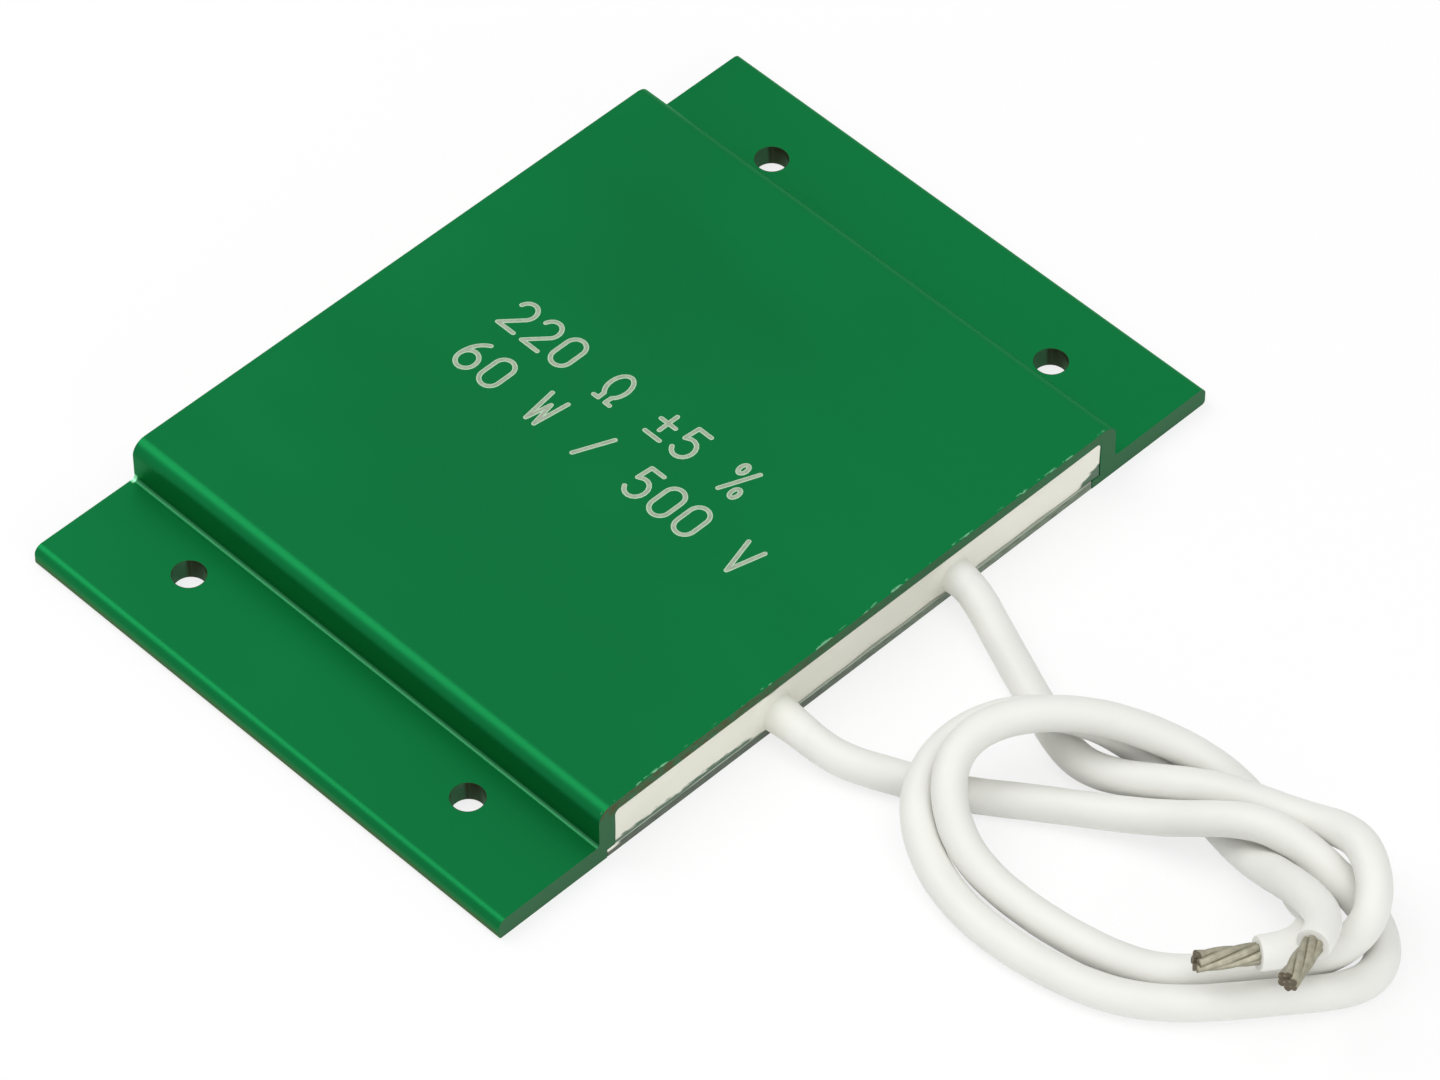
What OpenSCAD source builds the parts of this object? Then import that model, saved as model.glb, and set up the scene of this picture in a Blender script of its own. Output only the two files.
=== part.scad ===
// Flat power resistor: a hat-section aluminium extrusion closed by a base plate, sealed at
// both ends, with a bifilar winding on a mica card inside and two free leads.
// X runs across the housing, Y along it and Z up. The leads leave at the front, towards -Y.
// The origin is the middle of the housing's underside.

/* [Housing] */
// Length of the extrusion
housing_l = 60; // [50:1:100]
// Width of the raised body over its side walls
body_w = 64.5; // [54:0.5:80]
// Height of the top face above the underside
body_h = 6.6; // [6.2:0.1:10]
// Width of each mounting flange
flange_w = 12; // [10:0.5:20]
// Thickness of the flanges
flange_t = 2.2; // [1.6:0.1:3]
// Thickness of the side walls
wall_t = 1.9; // [1.4:0.1:3]
// Thickness of the top
top_t = 1.2; // [0.8:0.1:1.6]
// Radius of the long edges of the top face
top_r = 1.5; // [0.5:0.1:2]
// Radius of the flanges' upper outer edges
edge_r = 0.9; // [0.2:0.1:1]
// Radius of the flanges' lower outer edges
under_r = 0.4; // [0.1:0.1:0.5]
// Radius of the fillet where a wall stands on its flange
foot_r = 0.4; // [0.2:0.1:1]
// Radius of the upper corners of the cavity
cavity_r = 0.6; // [0.2:0.1:1]

/* [Mounting holes] */
// Diameter of the screw holes, a clearance size for M3
hole_d = 3.2; // [2.6:0.1:4.5]
// Distance from a hole's centre to the outer edge of its flange
hole_edge = 7.75; // [4:0.25:8]
// Distance from a hole's centre to the end of the housing
hole_end = 12; // [5:0.5:20]

/* [Base plate] */
// Thickness of the base plate
plate_t = 1; // [0.6:0.1:1.3]
// Depth of the rebate in the left wall that takes the plate's left edge
rebate_d = 1; // [0.3:0.1:1.1]
// Width of the ledge inside the right wall that the plate's right edge lies against
ledge_w = 1; // [0.3:0.1:1.5]
// Gap between the plate's edges and the housing
plate_gap = 0.05; // [0.02:0.01:0.2]

/* [Seals and insulation] */
// Depth of the sealing compound at each end
seal_l = 4; // [3:0.5:8]
// How far the compound stands back from the end face
seal_recess = 0.2; // [0.1:0.1:1]
// Gap between the compound and the housing
seal_gap = 0.05; // [0.02:0.01:0.1]
// Thickness of the mica sheets over and under the filler
mica_t = 0.4; // [0.2:0.1:0.5]
// Room between the filler and the pieces bedded in it
bed_gap = 0.15; // [0.05:0.05:0.2]

/* [Winding] */
// Thickness of the mica card that carries the winding
card_t = 0.8; // [0.5:0.1:1]
// Distance from the card to each side wall
card_side = 5; // [3:0.5:8]
// Distance from the card's back edge to the rear seal
card_end = 6; // [3:0.5:10]
// Bare stretch of the card in front of the first turn
card_margin = 6; // [5:0.5:9]
// Bare stretch of the card behind the last turn
card_tail = 1.25; // [1:0.25:4]
// Diameter of the resistance wire
wire_d = 0.5; // [0.3:0.05:0.6]
// Distance between neighbouring wires on the card
wire_pitch = 1.3; // [1.1:0.1:2.5]
// Gap between the wire and the card
wire_gap = 0.05; // [0.05:0.01:0.1]
// Depth of the notches in the card's edges
notch_d = 0.8; // [0.6:0.1:1.2]
// Room in a notch on each side of its wire
notch_gap = 0.15; // [0.1:0.01:0.2]

/* [Terminals] */
// Width of the terminal strips on the card
strip_w = 3; // [2.6:0.1:5]
// Thickness of the terminal strips
strip_t = 0.4; // [0.3:0.05:0.5]
// Width of the tongue that goes into the crimp barrel
tongue_w = 1.5; // [1:0.1:1.7]
// Length of the tongue inside the barrel
tongue_in = 1.5; // [1:0.1:1.6]
// Diameter of the rivets that hold the strips
rivet_d = 1.2; // [0.8:0.1:1.6]
// Diameter of the rivet heads
rivet_head_d = 2.2; // [1.8:0.1:2.6]
// Height of the rivet heads
rivet_head_h = 0.3; // [0.2:0.05:0.35]
// Gap between a rivet and its hole
rivet_gap = 0.05; // [0.02:0.01:0.1]
// Length of the crimp barrels
barrel_l = 3.5; // [3.2:0.1:6]
// Wall of the crimp barrels
barrel_t = 0.3; // [0.2:0.05:0.35]
// Bare strand between the end of the insulation and the barrel
bare_front = 1.5; // [1:0.1:2]
// Gap between a barrel and the strand in it
barrel_gap = 0.05; // [0.02:0.01:0.1]

/* [Leads] */
// Diameter of the leads over their insulation
lead_d = 3.2; // [2.4:0.1:3.2]
// Diameter of the bare strand
strand_d = 1.9; // [1:0.1:2]
// Gap between a lead and its bore in the front seal
lead_gap = 0.1; // [0.05:0.01:0.2]
// Bare length at the free ends
tip_l = 5.5; // [3:0.5:10]
// Bare length inside the housing
strip_back = 3; // [2:0.1:3.3]
// Wall of the collars of compound round the leads, at the seal
collar_t = 0.25; // [0.2:0.05:0.4]
// Length of the collar round the left lead
left_collar_l = 2; // [0.5:0.1:2.2]
// Length of the collar round the right lead
right_collar_l = 1; // [0.5:0.1:1.2]
// Place of the left lead across the housing
left_x = -11.25; // [-14:0.25:-8]
// Place of the right lead across the housing
right_x = 11.25; // [8:0.25:14]

/* [Hidden] */
$fn = 64;
// Extra depth of a cut, so that it leaves no skin
cut = 1;
// Sides of a lead's tube, and rings along each lead
lead_sides = 8;
lead_rings = 40;
// Sides of the wire, and steps round each edge of the card
wire_sides = 6;
wrap_steps = 3;
bend_steps = 4;
// Gap between a barrel and the card, and between a strip's bend and the card
card_front_gap = 1;
bend_gap = 0.1;
// How far a strip runs past its wire, and its rivet's place from the card's front edge
strip_over = 0.5;
rivet_in = 2.5;
// Place of the turn at the back of the bifilar winding
turn_x = 0;
// Wall of a collar at its thin end
collar_lip = 0.15;

housing_w = body_w + 2 * flange_w;
front_y = -housing_l / 2;
back_y = housing_l / 2;
cavity_w = body_w - 2 * wall_t;
cavity_top = body_h - top_t;
// Height of the leads' axis, at mid height in the cavity, which is the card's height too
mid_z = (plate_t + cavity_top) / 2;
filler_front = front_y + seal_l;
filler_back = back_y - seal_l;
filler_low = plate_t + mica_t;
filler_top = cavity_top - mica_t;
inner_w = cavity_w - 2 * seal_gap;
// Edges of the opening for the base plate
seat_left = -cavity_w / 2 - rebate_d;
seat_right = cavity_w / 2 - ledge_w;

barrel_back = filler_front + bare_front + barrel_l;
barrel_r = strand_d / 2 + barrel_gap + barrel_t;
card_w = cavity_w - 2 * card_side;
card_front = barrel_back + card_front_gap;
card_back = filler_back - card_end;
card_top = mid_z + card_t / 2;
card_low = mid_z - card_t / 2;

wire_r = wire_d / 2;
// The two wires of the bifilar pair lie side by side, so each one's turns are two pitches apart
turn_pitch = 2 * wire_pitch;
first_y = card_front + card_margin;
turns = floor((card_back - card_tail - wire_pitch - first_y) / turn_pitch);
notch_x = card_w / 2 - notch_d;
// Radius of the wire's axis round an edge of the card
wrap_r = card_t / 2 + wire_gap + wire_r;
wire_top = mid_z + wrap_r;

// Routes of the leads: x, y from the housing's front face, and z. They began as a computed
// first course, and the points were then moved by hand, to round numbers, until the leads
// lay right. Each lead follows a smooth curve drawn by these points.
left_route = [
    [left_x, seal_l, mid_z], [left_x, 0.5, mid_z], [left_x, -3.5, mid_z], [-10.75, -7.5, 2],
    [-8.25, -11.75, 1.6], [-6, -17, 1.6], [-2, -22, 1.6], [1.75, -28, 2], [4.5, -34.25, 4],
    [7.25, -41.25, 8.5], [8.75, -48, 5.25], [9.5, -54, 1.6], [4.25, -57.25, 1.6], [-1.75, -52.25, 1.6],
    [-7.75, -47.75, 1.6], [-12, -43, 1.6], [-14, -37, 1.6], [-15, -30, 1.6], [-14.25, -22.5, 2],
    [-11, -16.5, 4.25], [-5.25, -14.25, 5.25], [1, -15.5, 5.75], [6.5, -20.5, 5.25], [9.25, -26, 2],
    [8.5, -33, 1.6], [6.75, -40, 1.6], [3.25, -48.25, 8.75], [1.5, -53.75, 10.75], [-2.25, -55, 11.5]];
right_route = [
    [right_x, seal_l, mid_z], [right_x, 1, mid_z], [right_x, -2.5, mid_z], [10, -6, 2.5],
    [8, -11.5, 1.6], [5.75, -17, 1.6], [3.75, -22.75, 1.6], [5.5, -28.5, 3.5], [8.5, -35.25, 6],
    [11.5, -42.5, 4.75], [12, -48.75, 8.75], [7, -55, 6], [2.5, -51.75, 1.6], [-1.75, -47.75, 1.6],
    [-7.75, -43.75, 1.6], [-10, -37, 1.6], [-11, -29.5, 1.75], [-11.5, -22.5, 3.75],
    [-7.75, -17, 7.75], [-1.25, -16.75, 8], [4.5, -21.5, 8], [8.5, -26, 6], [11.5, -33, 4],
    [11, -39, 1.6], [8.5, -43.25, 1.6], [6.5, -46.5, 1.6], [4.5, -50.5, 6.25], [0.5, -51.75, 5.75],
    [-3, -49.75, 6.25]];

green = [0.09, 0.47, 0.26];
plate_grey = [0.42, 0.45, 0.4];
compound_white = [0.86, 0.86, 0.82];
cement_grey = [0.78, 0.76, 0.7];
mica_brown = [0.72, 0.6, 0.42];
wire_steel = [0.5, 0.48, 0.46];
nickel = [0.75, 0.74, 0.7];
silicone_white = [0.92, 0.92, 0.9];
tinned = [0.62, 0.59, 0.52];

function unit(v) = v / norm(v);
function last(list) = list[len(list) - 1];
function at_face(route) = [for (p = route) [p[0], p[1] + front_y, p[2]]];

// A uniform cubic B-spline that starts and ends on its outer points
function padded(p) = concat([p[0], p[0]], p, [last(p), last(p)]);
function spline_point(p, i, u) =
    (pow(1 - u, 3) * p[i] + (3 * pow(u, 3) - 6 * pow(u, 2) + 4) * p[i + 1]
    + (-3 * pow(u, 3) + 3 * pow(u, 2) + 3 * u + 1) * p[i + 2] + pow(u, 3) * p[i + 3]) / 6;
function spline(points, rings) =
    let (p = padded(points), spans = len(p) - 3)
    [for (k = [0:rings - 1])
        let (t = k * spans / (rings - 1), i = min(floor(t), spans - 1))
        spline_point(p, i, t - i)];
function end_direction(route) = unit(last(route) - route[len(route) - 2]);

// Directions along a path, and a side vector for each that turns as little as it can
function direction(path, i) =
    unit(path[min(i + 1, len(path) - 1)] - path[max(i - 1, 0)]);
function directions(path) = [for (i = [0:len(path) - 1]) direction(path, i)];
function square_to(v, d) = unit(v - (v * d) * d);
function sides_along(dirs, first) =
    [for (i = 0, s = square_to(first, dirs[0]); i < len(dirs);
        i = i + 1, s = i < len(dirs) ? square_to(s, dirs[i]) : s) s];

// A tube of radius r swept along a path, whose rings have the given number of corners
module swept_tube(path, r, corners, up) {
    dirs = directions(path);
    ups = sides_along(dirs, up);
    rings = len(path);
    points = [for (i = [0:rings - 1], k = [0:corners - 1])
        let (a = 360 * (k + 0.5) / corners)
        path[i] + r * (cos(a) * ups[i] + sin(a) * cross(dirs[i], ups[i]))];
    walls = [for (i = [0:rings - 2], k = [0:corners - 1])
        let (n = (k + 1) % corners, a = i * corners, b = a + corners)
        each [[a + k, b + k, b + n], [a + k, b + n, a + n]]];
    start = [for (k = [0:corners - 1]) k];
    end = [for (k = [corners - 1:-1:0]) (rings - 1) * corners + k];
    polyhedron(points, concat([start], walls, [end]));
}

// What rounding a square corner at the origin takes away, with the material towards -X and -Y
module corner_waste(r) {
    translate([-r, -r]) difference() {
        square(r + cut);
        circle(r);
        translate([0, -cut]) square([r + cut, cut]);
        translate([-cut, 0]) square([cut, r + cut]);
    }
}

// A shape for the right half of a section, and its mirror image for the left half
module both_sides() {
    children();
    mirror([1, 0]) children();
}

module extruded(y_from, y_to) {
    translate([0, y_to, 0]) rotate([90, 0, 0]) linear_extrude(y_to - y_from) children();
}

module cavity_section(gap) {
    w = cavity_w - 2 * gap;
    top = cavity_top - gap;
    difference() {
        translate([-w / 2, plate_t]) square([w, top - plate_t]);
        both_sides() translate([w / 2, top]) corner_waste(cavity_r);
    }
}

module housing_section() {
    difference() {
        union() {
            translate([-body_w / 2, 0]) square([body_w, body_h]);
            translate([-housing_w / 2, 0]) square([housing_w, flange_t]);
            both_sides() translate([body_w / 2, flange_t]) difference() {
                square(foot_r);
                translate([foot_r, foot_r]) circle(foot_r);
            }
        }
        both_sides() translate([body_w / 2, body_h]) corner_waste(top_r);
        both_sides() translate([housing_w / 2, flange_t]) corner_waste(edge_r);
        both_sides() translate([housing_w / 2, 0]) mirror([0, 1]) corner_waste(under_r);
        cavity_section(0);
        translate([seat_left, -cut]) square([seat_right - seat_left, plate_t + cut]);
    }
}

module housing() {
    color(green) difference() {
        extruded(front_y, back_y) housing_section();
        for (x = [-1, 1], y = [-1, 1])
            translate([x * (housing_w / 2 - hole_edge), y * (back_y - hole_end), -cut])
                cylinder(d = hole_d, h = flange_t + 2 * cut);
    }
}

module base_plate() {
    color(plate_grey) translate([seat_left + plate_gap, front_y, 0])
        cube([seat_right - seat_left - 2 * plate_gap, housing_l, plate_t]);
}

// The collar of compound that climbs a lead where it leaves the seal
module collar(x, length) {
    bore = lead_d / 2 + lead_gap;
    translate([x, front_y + seal_recess, mid_z]) rotate([90, 0, 0])
        cylinder(r1 = bore + collar_t, r2 = bore + collar_lip, h = length);
}

module front_seal() {
    color(compound_white) difference() {
        union() {
            extruded(front_y + seal_recess, filler_front) cavity_section(seal_gap);
            collar(left_x, left_collar_l);
            collar(right_x, right_collar_l);
        }
        for (x = [left_x, right_x])
            translate([x, filler_front + cut, mid_z]) rotate([90, 0, 0])
                cylinder(d = lead_d + 2 * lead_gap,
                    h = seal_l + left_collar_l + right_collar_l + 2 * cut);
    }
}

module rear_seal() {
    color(compound_white)
        extruded(filler_back, back_y - seal_recess) cavity_section(seal_gap);
}

// A pocket that clears the winding, the strips and the rivets on the card
module card_pocket() {
    over = max(wire_gap + wire_d, strip_t + rivet_head_h) + bed_gap;
    h = card_t + 2 * over;
    w = card_w - 2 * notch_d + 2 * (wrap_r + wire_r + bed_gap);
    wide = max(w, card_w + 2 * bed_gap);
    translate([-wide / 2, card_front - bed_gap, mid_z - h / 2])
        cube([wide, card_back - card_front + 2 * bed_gap, h]);
}

module filler() {
    color(cement_grey) difference() {
        translate([-inner_w / 2, filler_front, filler_low])
            cube([inner_w, filler_back - filler_front, filler_top - filler_low]);
        card_pocket();
        for (x = [left_x, right_x])
            translate([x, card_front, mid_z]) rotate([90, 0, 0])
                cylinder(r = barrel_r + bed_gap, h = card_front - filler_front + cut);
    }
}

module mica_sheet(w, z) {
    color(mica_brown) translate([-w / 2, filler_front, z])
        cube([w, filler_back - filler_front, mica_t]);
}

module upper_insulator() {
    mica_sheet(cavity_w - 2 * cavity_r, filler_top);
}

module lower_insulator() {
    mica_sheet(inner_w, plate_t);
}

// One edge's notches, one for each wire of the pair in each turn
module notches(x, from) {
    for (i = [from:from + turns - 1], pair = [0, 1])
        translate([x - (x < 0 ? cut : 0),
                first_y + i * turn_pitch + pair * wire_pitch - wire_r - notch_gap])
            square([cut, wire_d + 2 * notch_gap]);
}

module winding_card() {
    color(mica_brown) translate([0, 0, card_low]) difference() {
        linear_extrude(card_t) difference() {
            translate([-card_w / 2, card_front]) square([card_w, card_back - card_front]);
            notches(-notch_x, 0);
            notches(notch_x, 1);
        }
        for (x = [left_x, right_x])
            translate([x, card_front + rivet_in, -cut])
                cylinder(d = rivet_d + 2 * rivet_gap, h = card_t + 2 * cut);
    }
}

// The wire's axis round one edge of the card: side is -1 for the left edge, 1 for the right
function wrap(side, y, angles) =
    [for (a = angles) [side * (notch_x + wrap_r * sin(a)), y, mid_z + wrap_r * cos(a)]];
function one_wire(start_x, y) = concat(
    [[start_x, y, wire_top]],
    [for (i = [0:turns - 1]) each concat(
        wrap(-1, y + i * turn_pitch, [for (k = [0:wrap_steps]) 180 * k / wrap_steps]),
        wrap(1, y + (i + 1) * turn_pitch, [for (k = [wrap_steps:-1:0]) 180 * k / wrap_steps]))]);
function back_turn(y) =
    [for (k = [0:bend_steps]) let (a = 180 * k / bend_steps)
        [turn_x - wire_pitch / 2 * sin(a), y + wire_pitch / 2 * (1 - cos(a)), wire_top]];
function reversed(list) = [for (i = [len(list) - 1:-1:0]) list[i]];

// One wire laid as two side by side, from the left strip to the back and on to the right strip
module resistance_winding() {
    out = one_wire(left_x - strip_w / 2, first_y);
    home = one_wire(right_x - strip_w / 2, first_y + wire_pitch);
    color(wire_steel)
        swept_tube(concat(out, back_turn(first_y + turns * turn_pitch), reversed(home)),
            wire_r, wire_sides, [0, 0, 1]);
}

// A strip riveted to the card, whose tongue steps down into the crimp barrel
module terminal(x, back) {
    tongue_low = mid_z - strip_t / 2;
    color(nickel) difference() {
        union() {
            translate([x - tongue_w / 2, 0, 0]) rotate([90, 0, 90]) linear_extrude(tongue_w)
                polygon([
                    [barrel_back - tongue_in, tongue_low],
                    [barrel_back + bend_gap, tongue_low],
                    [card_front - bend_gap, card_top],
                    [card_front + rivet_in, card_top],
                    [card_front + rivet_in, card_top + strip_t],
                    [card_front - bend_gap, card_top + strip_t],
                    [barrel_back + bend_gap, tongue_low + strip_t],
                    [barrel_back - tongue_in, tongue_low + strip_t]]);
            translate([x - strip_w / 2, card_front, card_top])
                cube([strip_w, back - card_front, strip_t]);
        }
        translate([x, card_front + rivet_in, card_top - cut])
            cylinder(d = rivet_d + 2 * rivet_gap, h = strip_t + 2 * cut);
    }
}

module terminal_left() {
    terminal(left_x, first_y + strip_over);
}

module terminal_right() {
    terminal(right_x, first_y + wire_pitch + strip_over);
}

module terminal_rivets() {
    shank = card_t + strip_t;
    color(nickel) for (x = [left_x, right_x])
        translate([x, card_front + rivet_in, card_low]) {
            cylinder(d = rivet_d, h = shank);
            translate([0, 0, -rivet_head_h]) cylinder(d = rivet_head_d, h = rivet_head_h);
            translate([0, 0, shank]) cylinder(d = rivet_head_d, h = rivet_head_h);
        }
}

module barrel(x) {
    color(nickel) translate([x, barrel_back, mid_z]) rotate([90, 0, 0]) difference() {
        cylinder(r = barrel_r, h = barrel_l);
        translate([0, 0, -cut])
            cylinder(r = barrel_r - barrel_t, h = barrel_l + 2 * cut);
    }
}

module barrel_left() {
    barrel(left_x);
}

module barrel_right() {
    barrel(right_x);
}

module lead(route) {
    color(silicone_white)
        swept_tube(spline(at_face(route), lead_rings), lead_d / 2, lead_sides, [0, 0, 1]);
}

module lead_left() {
    lead(left_route);
}

module lead_right() {
    lead(right_route);
}

// A lead's strand where it is bare: inside the housing, and past the insulation's free end
module strand(x, route) {
    d = end_direction(route);
    color(tinned) {
        translate([x, filler_front + strip_back, mid_z]) rotate([90, 0, 0])
            cylinder(d = strand_d, h = strip_back);
        translate(last(at_face(route))) rotate([0, acos(d[2]), atan2(d[1], d[0])])
            cylinder(d = strand_d, h = tip_l);
    }
}

module strand_left() {
    strand(left_x, left_route);
}

module strand_right() {
    strand(right_x, right_route);
}

housing();
base_plate();
front_seal();
rear_seal();
filler();
upper_insulator();
lower_insulator();
winding_card();
resistance_winding();
terminal_left();
terminal_right();
terminal_rivets();
barrel_left();
barrel_right();
lead_left();
lead_right();
strand_left();
strand_right();
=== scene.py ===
"""The looks of a flat power resistor: green anodised housing, white compound and silicone leads."""
import math

import bpy
import numpy as np
from bpy.props import (FloatProperty, FloatVectorProperty, IntProperty, PointerProperty,
                       StringProperty)
from bpy.types import Operator, Panel, PropertyGroup
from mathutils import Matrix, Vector


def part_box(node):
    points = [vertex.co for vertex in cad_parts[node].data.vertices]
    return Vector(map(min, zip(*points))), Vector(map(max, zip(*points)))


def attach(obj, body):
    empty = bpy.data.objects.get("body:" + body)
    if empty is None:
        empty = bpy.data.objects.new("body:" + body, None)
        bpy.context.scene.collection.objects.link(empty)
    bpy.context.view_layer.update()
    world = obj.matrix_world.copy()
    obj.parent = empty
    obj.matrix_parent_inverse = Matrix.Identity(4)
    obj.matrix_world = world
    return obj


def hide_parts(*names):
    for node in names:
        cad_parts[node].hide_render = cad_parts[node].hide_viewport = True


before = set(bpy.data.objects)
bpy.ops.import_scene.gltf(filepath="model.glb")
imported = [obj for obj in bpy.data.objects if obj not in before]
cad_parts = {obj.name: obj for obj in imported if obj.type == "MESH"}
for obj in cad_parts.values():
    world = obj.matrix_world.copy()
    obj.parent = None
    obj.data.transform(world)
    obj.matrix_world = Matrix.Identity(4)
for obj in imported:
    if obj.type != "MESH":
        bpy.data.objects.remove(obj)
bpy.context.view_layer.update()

bl_info = {
    "name": "Flat power resistor",
    "version": (1, 0, 0),
    "blender": (4, 5, 0),
    "location": "3D View > Sidebar > Resistor",
    "description": "Dresses the solids of a flat power resistor",
    "category": "Object",
}

MM = 0.001

# The housing's main places, in metres, as its solid has them
housing_low, housing_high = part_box("housing")
FRONT = housing_low.y
BACK = housing_high.y
TOP = housing_high.z
FLANGE_SIDE = housing_high.x
BODY_SIDE = 32.25 * MM
FLANGE_TOP = 2.2 * MM
HOLE_PLACE = (36.5 * MM, 18 * MM)
HOLE_R = 1.6 * MM

# Routes of the leads in millimetres: x, y from the housing's front face, and z
LEFT_X = -11.25
RIGHT_X = 11.25
SEAL_L = 4
LEAD_Z = 3.2
LEFT_ROUTE = [
    [LEFT_X, SEAL_L, LEAD_Z], [LEFT_X, 0.5, LEAD_Z], [LEFT_X, -3.5, LEAD_Z], [-10.75, -7.5, 2],
    [-8.25, -11.75, 1.6], [-6, -17, 1.6], [-2, -22, 1.6], [1.75, -28, 2], [4.5, -34.25, 4],
    [7.25, -41.25, 8.5], [8.75, -48, 5.25], [9.5, -54, 1.6], [4.25, -57.25, 1.6],
    [-1.75, -52.25, 1.6], [-7.75, -47.75, 1.6], [-12, -43, 1.6], [-14, -37, 1.6],
    [-15, -30, 1.6], [-14.25, -22.5, 2], [-11, -16.5, 4.25], [-5.25, -14.25, 5.25],
    [1, -15.5, 5.75], [6.5, -20.5, 5.25], [9.25, -26, 2], [8.5, -33, 1.6], [6.75, -40, 1.6],
    [3.25, -48.25, 8.75], [1.5, -53.75, 10.75], [-2.25, -55, 11.5]]
RIGHT_ROUTE = [
    [RIGHT_X, SEAL_L, LEAD_Z], [RIGHT_X, 1, LEAD_Z], [RIGHT_X, -2.5, LEAD_Z], [10, -6, 2.5],
    [8, -11.5, 1.6], [5.75, -17, 1.6], [3.75, -22.75, 1.6], [5.5, -28.5, 3.5], [8.5, -35.25, 6],
    [11.5, -42.5, 4.75], [12, -48.75, 8.75], [7, -55, 6], [2.5, -51.75, 1.6],
    [-1.75, -47.75, 1.6], [-7.75, -43.75, 1.6], [-10, -37, 1.6], [-11, -29.5, 1.75],
    [-11.5, -22.5, 3.75], [-7.75, -17, 7.75], [-1.25, -16.75, 8], [4.5, -21.5, 8],
    [8.5, -26, 6], [11.5, -33, 4], [11, -39, 1.6], [8.5, -43.25, 1.6], [6.5, -46.5, 1.6],
    [4.5, -50.5, 6.25], [0.5, -51.75, 5.75], [-3, -49.75, 6.25]]
# Depth of the wire stub between the lead's end and its crimp inside the housing
STUB = 3


def linear(red, green, blue):
    """A display colour from 0 to 255 as the linear colour that a shader takes."""
    return tuple(((c / 255 + 0.055) / 1.055) ** 2.4 if c > 10 else c / 255 / 12.92
                 for c in (red, green, blue))


def colour(name, description, red, green, blue):
    """A colour setting, given in display values from 0 to 255."""
    return FloatVectorProperty(name=name, description=description, subtype="COLOR", size=3,
                               min=0, max=1, default=linear(red, green, blue))


def length(name, description, millimetres):
    """A length setting, given in millimetres."""
    return FloatProperty(name=name, description=description, subtype="DISTANCE", unit="LENGTH",
                         min=0, precision=5, default=millimetres * MM)


class HousingSettings(PropertyGroup):
    green: colour("Green", "Dyed anodised skin", 12, 112, 58)
    green_deep: colour("Deep green", "Darker patches of the skin", 12, 106, 55)
    # Painted shade: the saw-cut ends are set darker than their sawn metal, for the shade on the end
    # faces
    cut: colour("Cut face", "Saw-cut ends of the extrusion", 62, 104, 74)
    cut_brown: colour("Cut face stain", "Brownish stain on the saw cut", 84, 80, 56)
    # Painted glints: light-green flecks that stand for the light caught by burrs on the sawn top
    # edge
    burr_glint: colour("Burr", "Bright flecks along the sawn edge", 112, 172, 134)
    # Painted shade: the hole walls are set dark olive-brown for the shade inside the holes, over a
    # brownish tint
    shaded_bore: colour("Hole", "Walls of the drilled holes", 44, 52, 34)
    # Painted highlight: the bright line where the foot fillet between wall and flange reflects the
    # sky
    painted_foot_highlight: colour("Highlight line", "Bright line along the foot of the bends", 46, 112, 72)
    edge_round: length("Edge rounding", "Rounding of the sawn and drilled edges", 0.1)
    roughness: FloatProperty(name="Roughness", description="Roughness of the skin",
                             min=0, max=1, default=0.36)
    metallic: FloatProperty(name="Metallic", description="Share of the light that the metal "
                            "reflects, against what the skin scatters", min=0, max=1, default=0.6)


class PlateSettings(PropertyGroup):
    metal: colour("Metal", "Rolled aluminium of the base plate", 168, 176, 166)
    # Painted shade: the sheared edge gets a deep grey-green for the shade on the plate's edge faces
    cut: colour("Cut edge", "Sheared edge of the plate", 88, 100, 85)
    edge_round: length("Edge rounding", "Rounding of the sheared edges", 0.08)


class CompoundSettings(PropertyGroup):
    white: colour("Compound", "Sealing compound", 238, 236, 225)
    warm: colour("Warm compound", "Compound at the left end", 222, 222, 208)
    # Painted shade: this grey-green band along the compound's lower edge stands for the shaded band
    # at the plate's edge left of the left lead, and for the sloping inner wall in the right corner
    smear: colour("Smear", "Metal dust smeared along the compound's lower edge", 80, 106, 86)
    hollow: length("Hollow", "How far the compound stands back from the face", 0.25)
    flare: length("Flare", "Thickness of the compound round a lead at the face", 0.28)


class LeadSettings(PropertyGroup):
    diameter: length("Diameter", "Diameter over the insulation", 3.2)
    strand_diameter: length("Strand diameter", "Diameter of the bare strand", 1.9)
    tip: length("Bare tip", "Length of the bare strand", 5.5)
    lay: length("Length of lay", "Length in which the wires turn once", 16.0)
    wires: IntProperty(name="Outer wires", description="Wires round the middle one",
                       min=3, default=6)
    silicone: colour("Silicone", "Insulation of the leads", 232, 232, 227)
    tin: colour("Tin", "Tinned wires", 166, 162, 143)
    tin_cut: colour("Cut wire", "Cut ends of the wires", 96, 86, 68)


class MarkingSettings(PropertyGroup):
    line_1: StringProperty(name="Line 1", description="First line of numbers",
                           default="220 O +5 %")
    line_2: StringProperty(name="Line 2", description="Second line of numbers",
                           default="60 W / 500 V")
    height: length("Height", "Height of the characters", 4.3)
    width: length("Width", "Width of the characters", 2.55)
    pitch: length("Pitch", "Distance from one character to the next", 3.13)
    stroke: length("Stroke", "Width of the engraved line", 0.52)
    silver: colour("Engraved metal", "Bare metal in the engraved lines", 158, 172, 150)
    # Painted highlight: the lighter green rim stands for the light caught by the edges of the
    # engraved lines
    rim: colour("Rim", "Edges of the engraved lines", 178, 208, 178)


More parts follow.
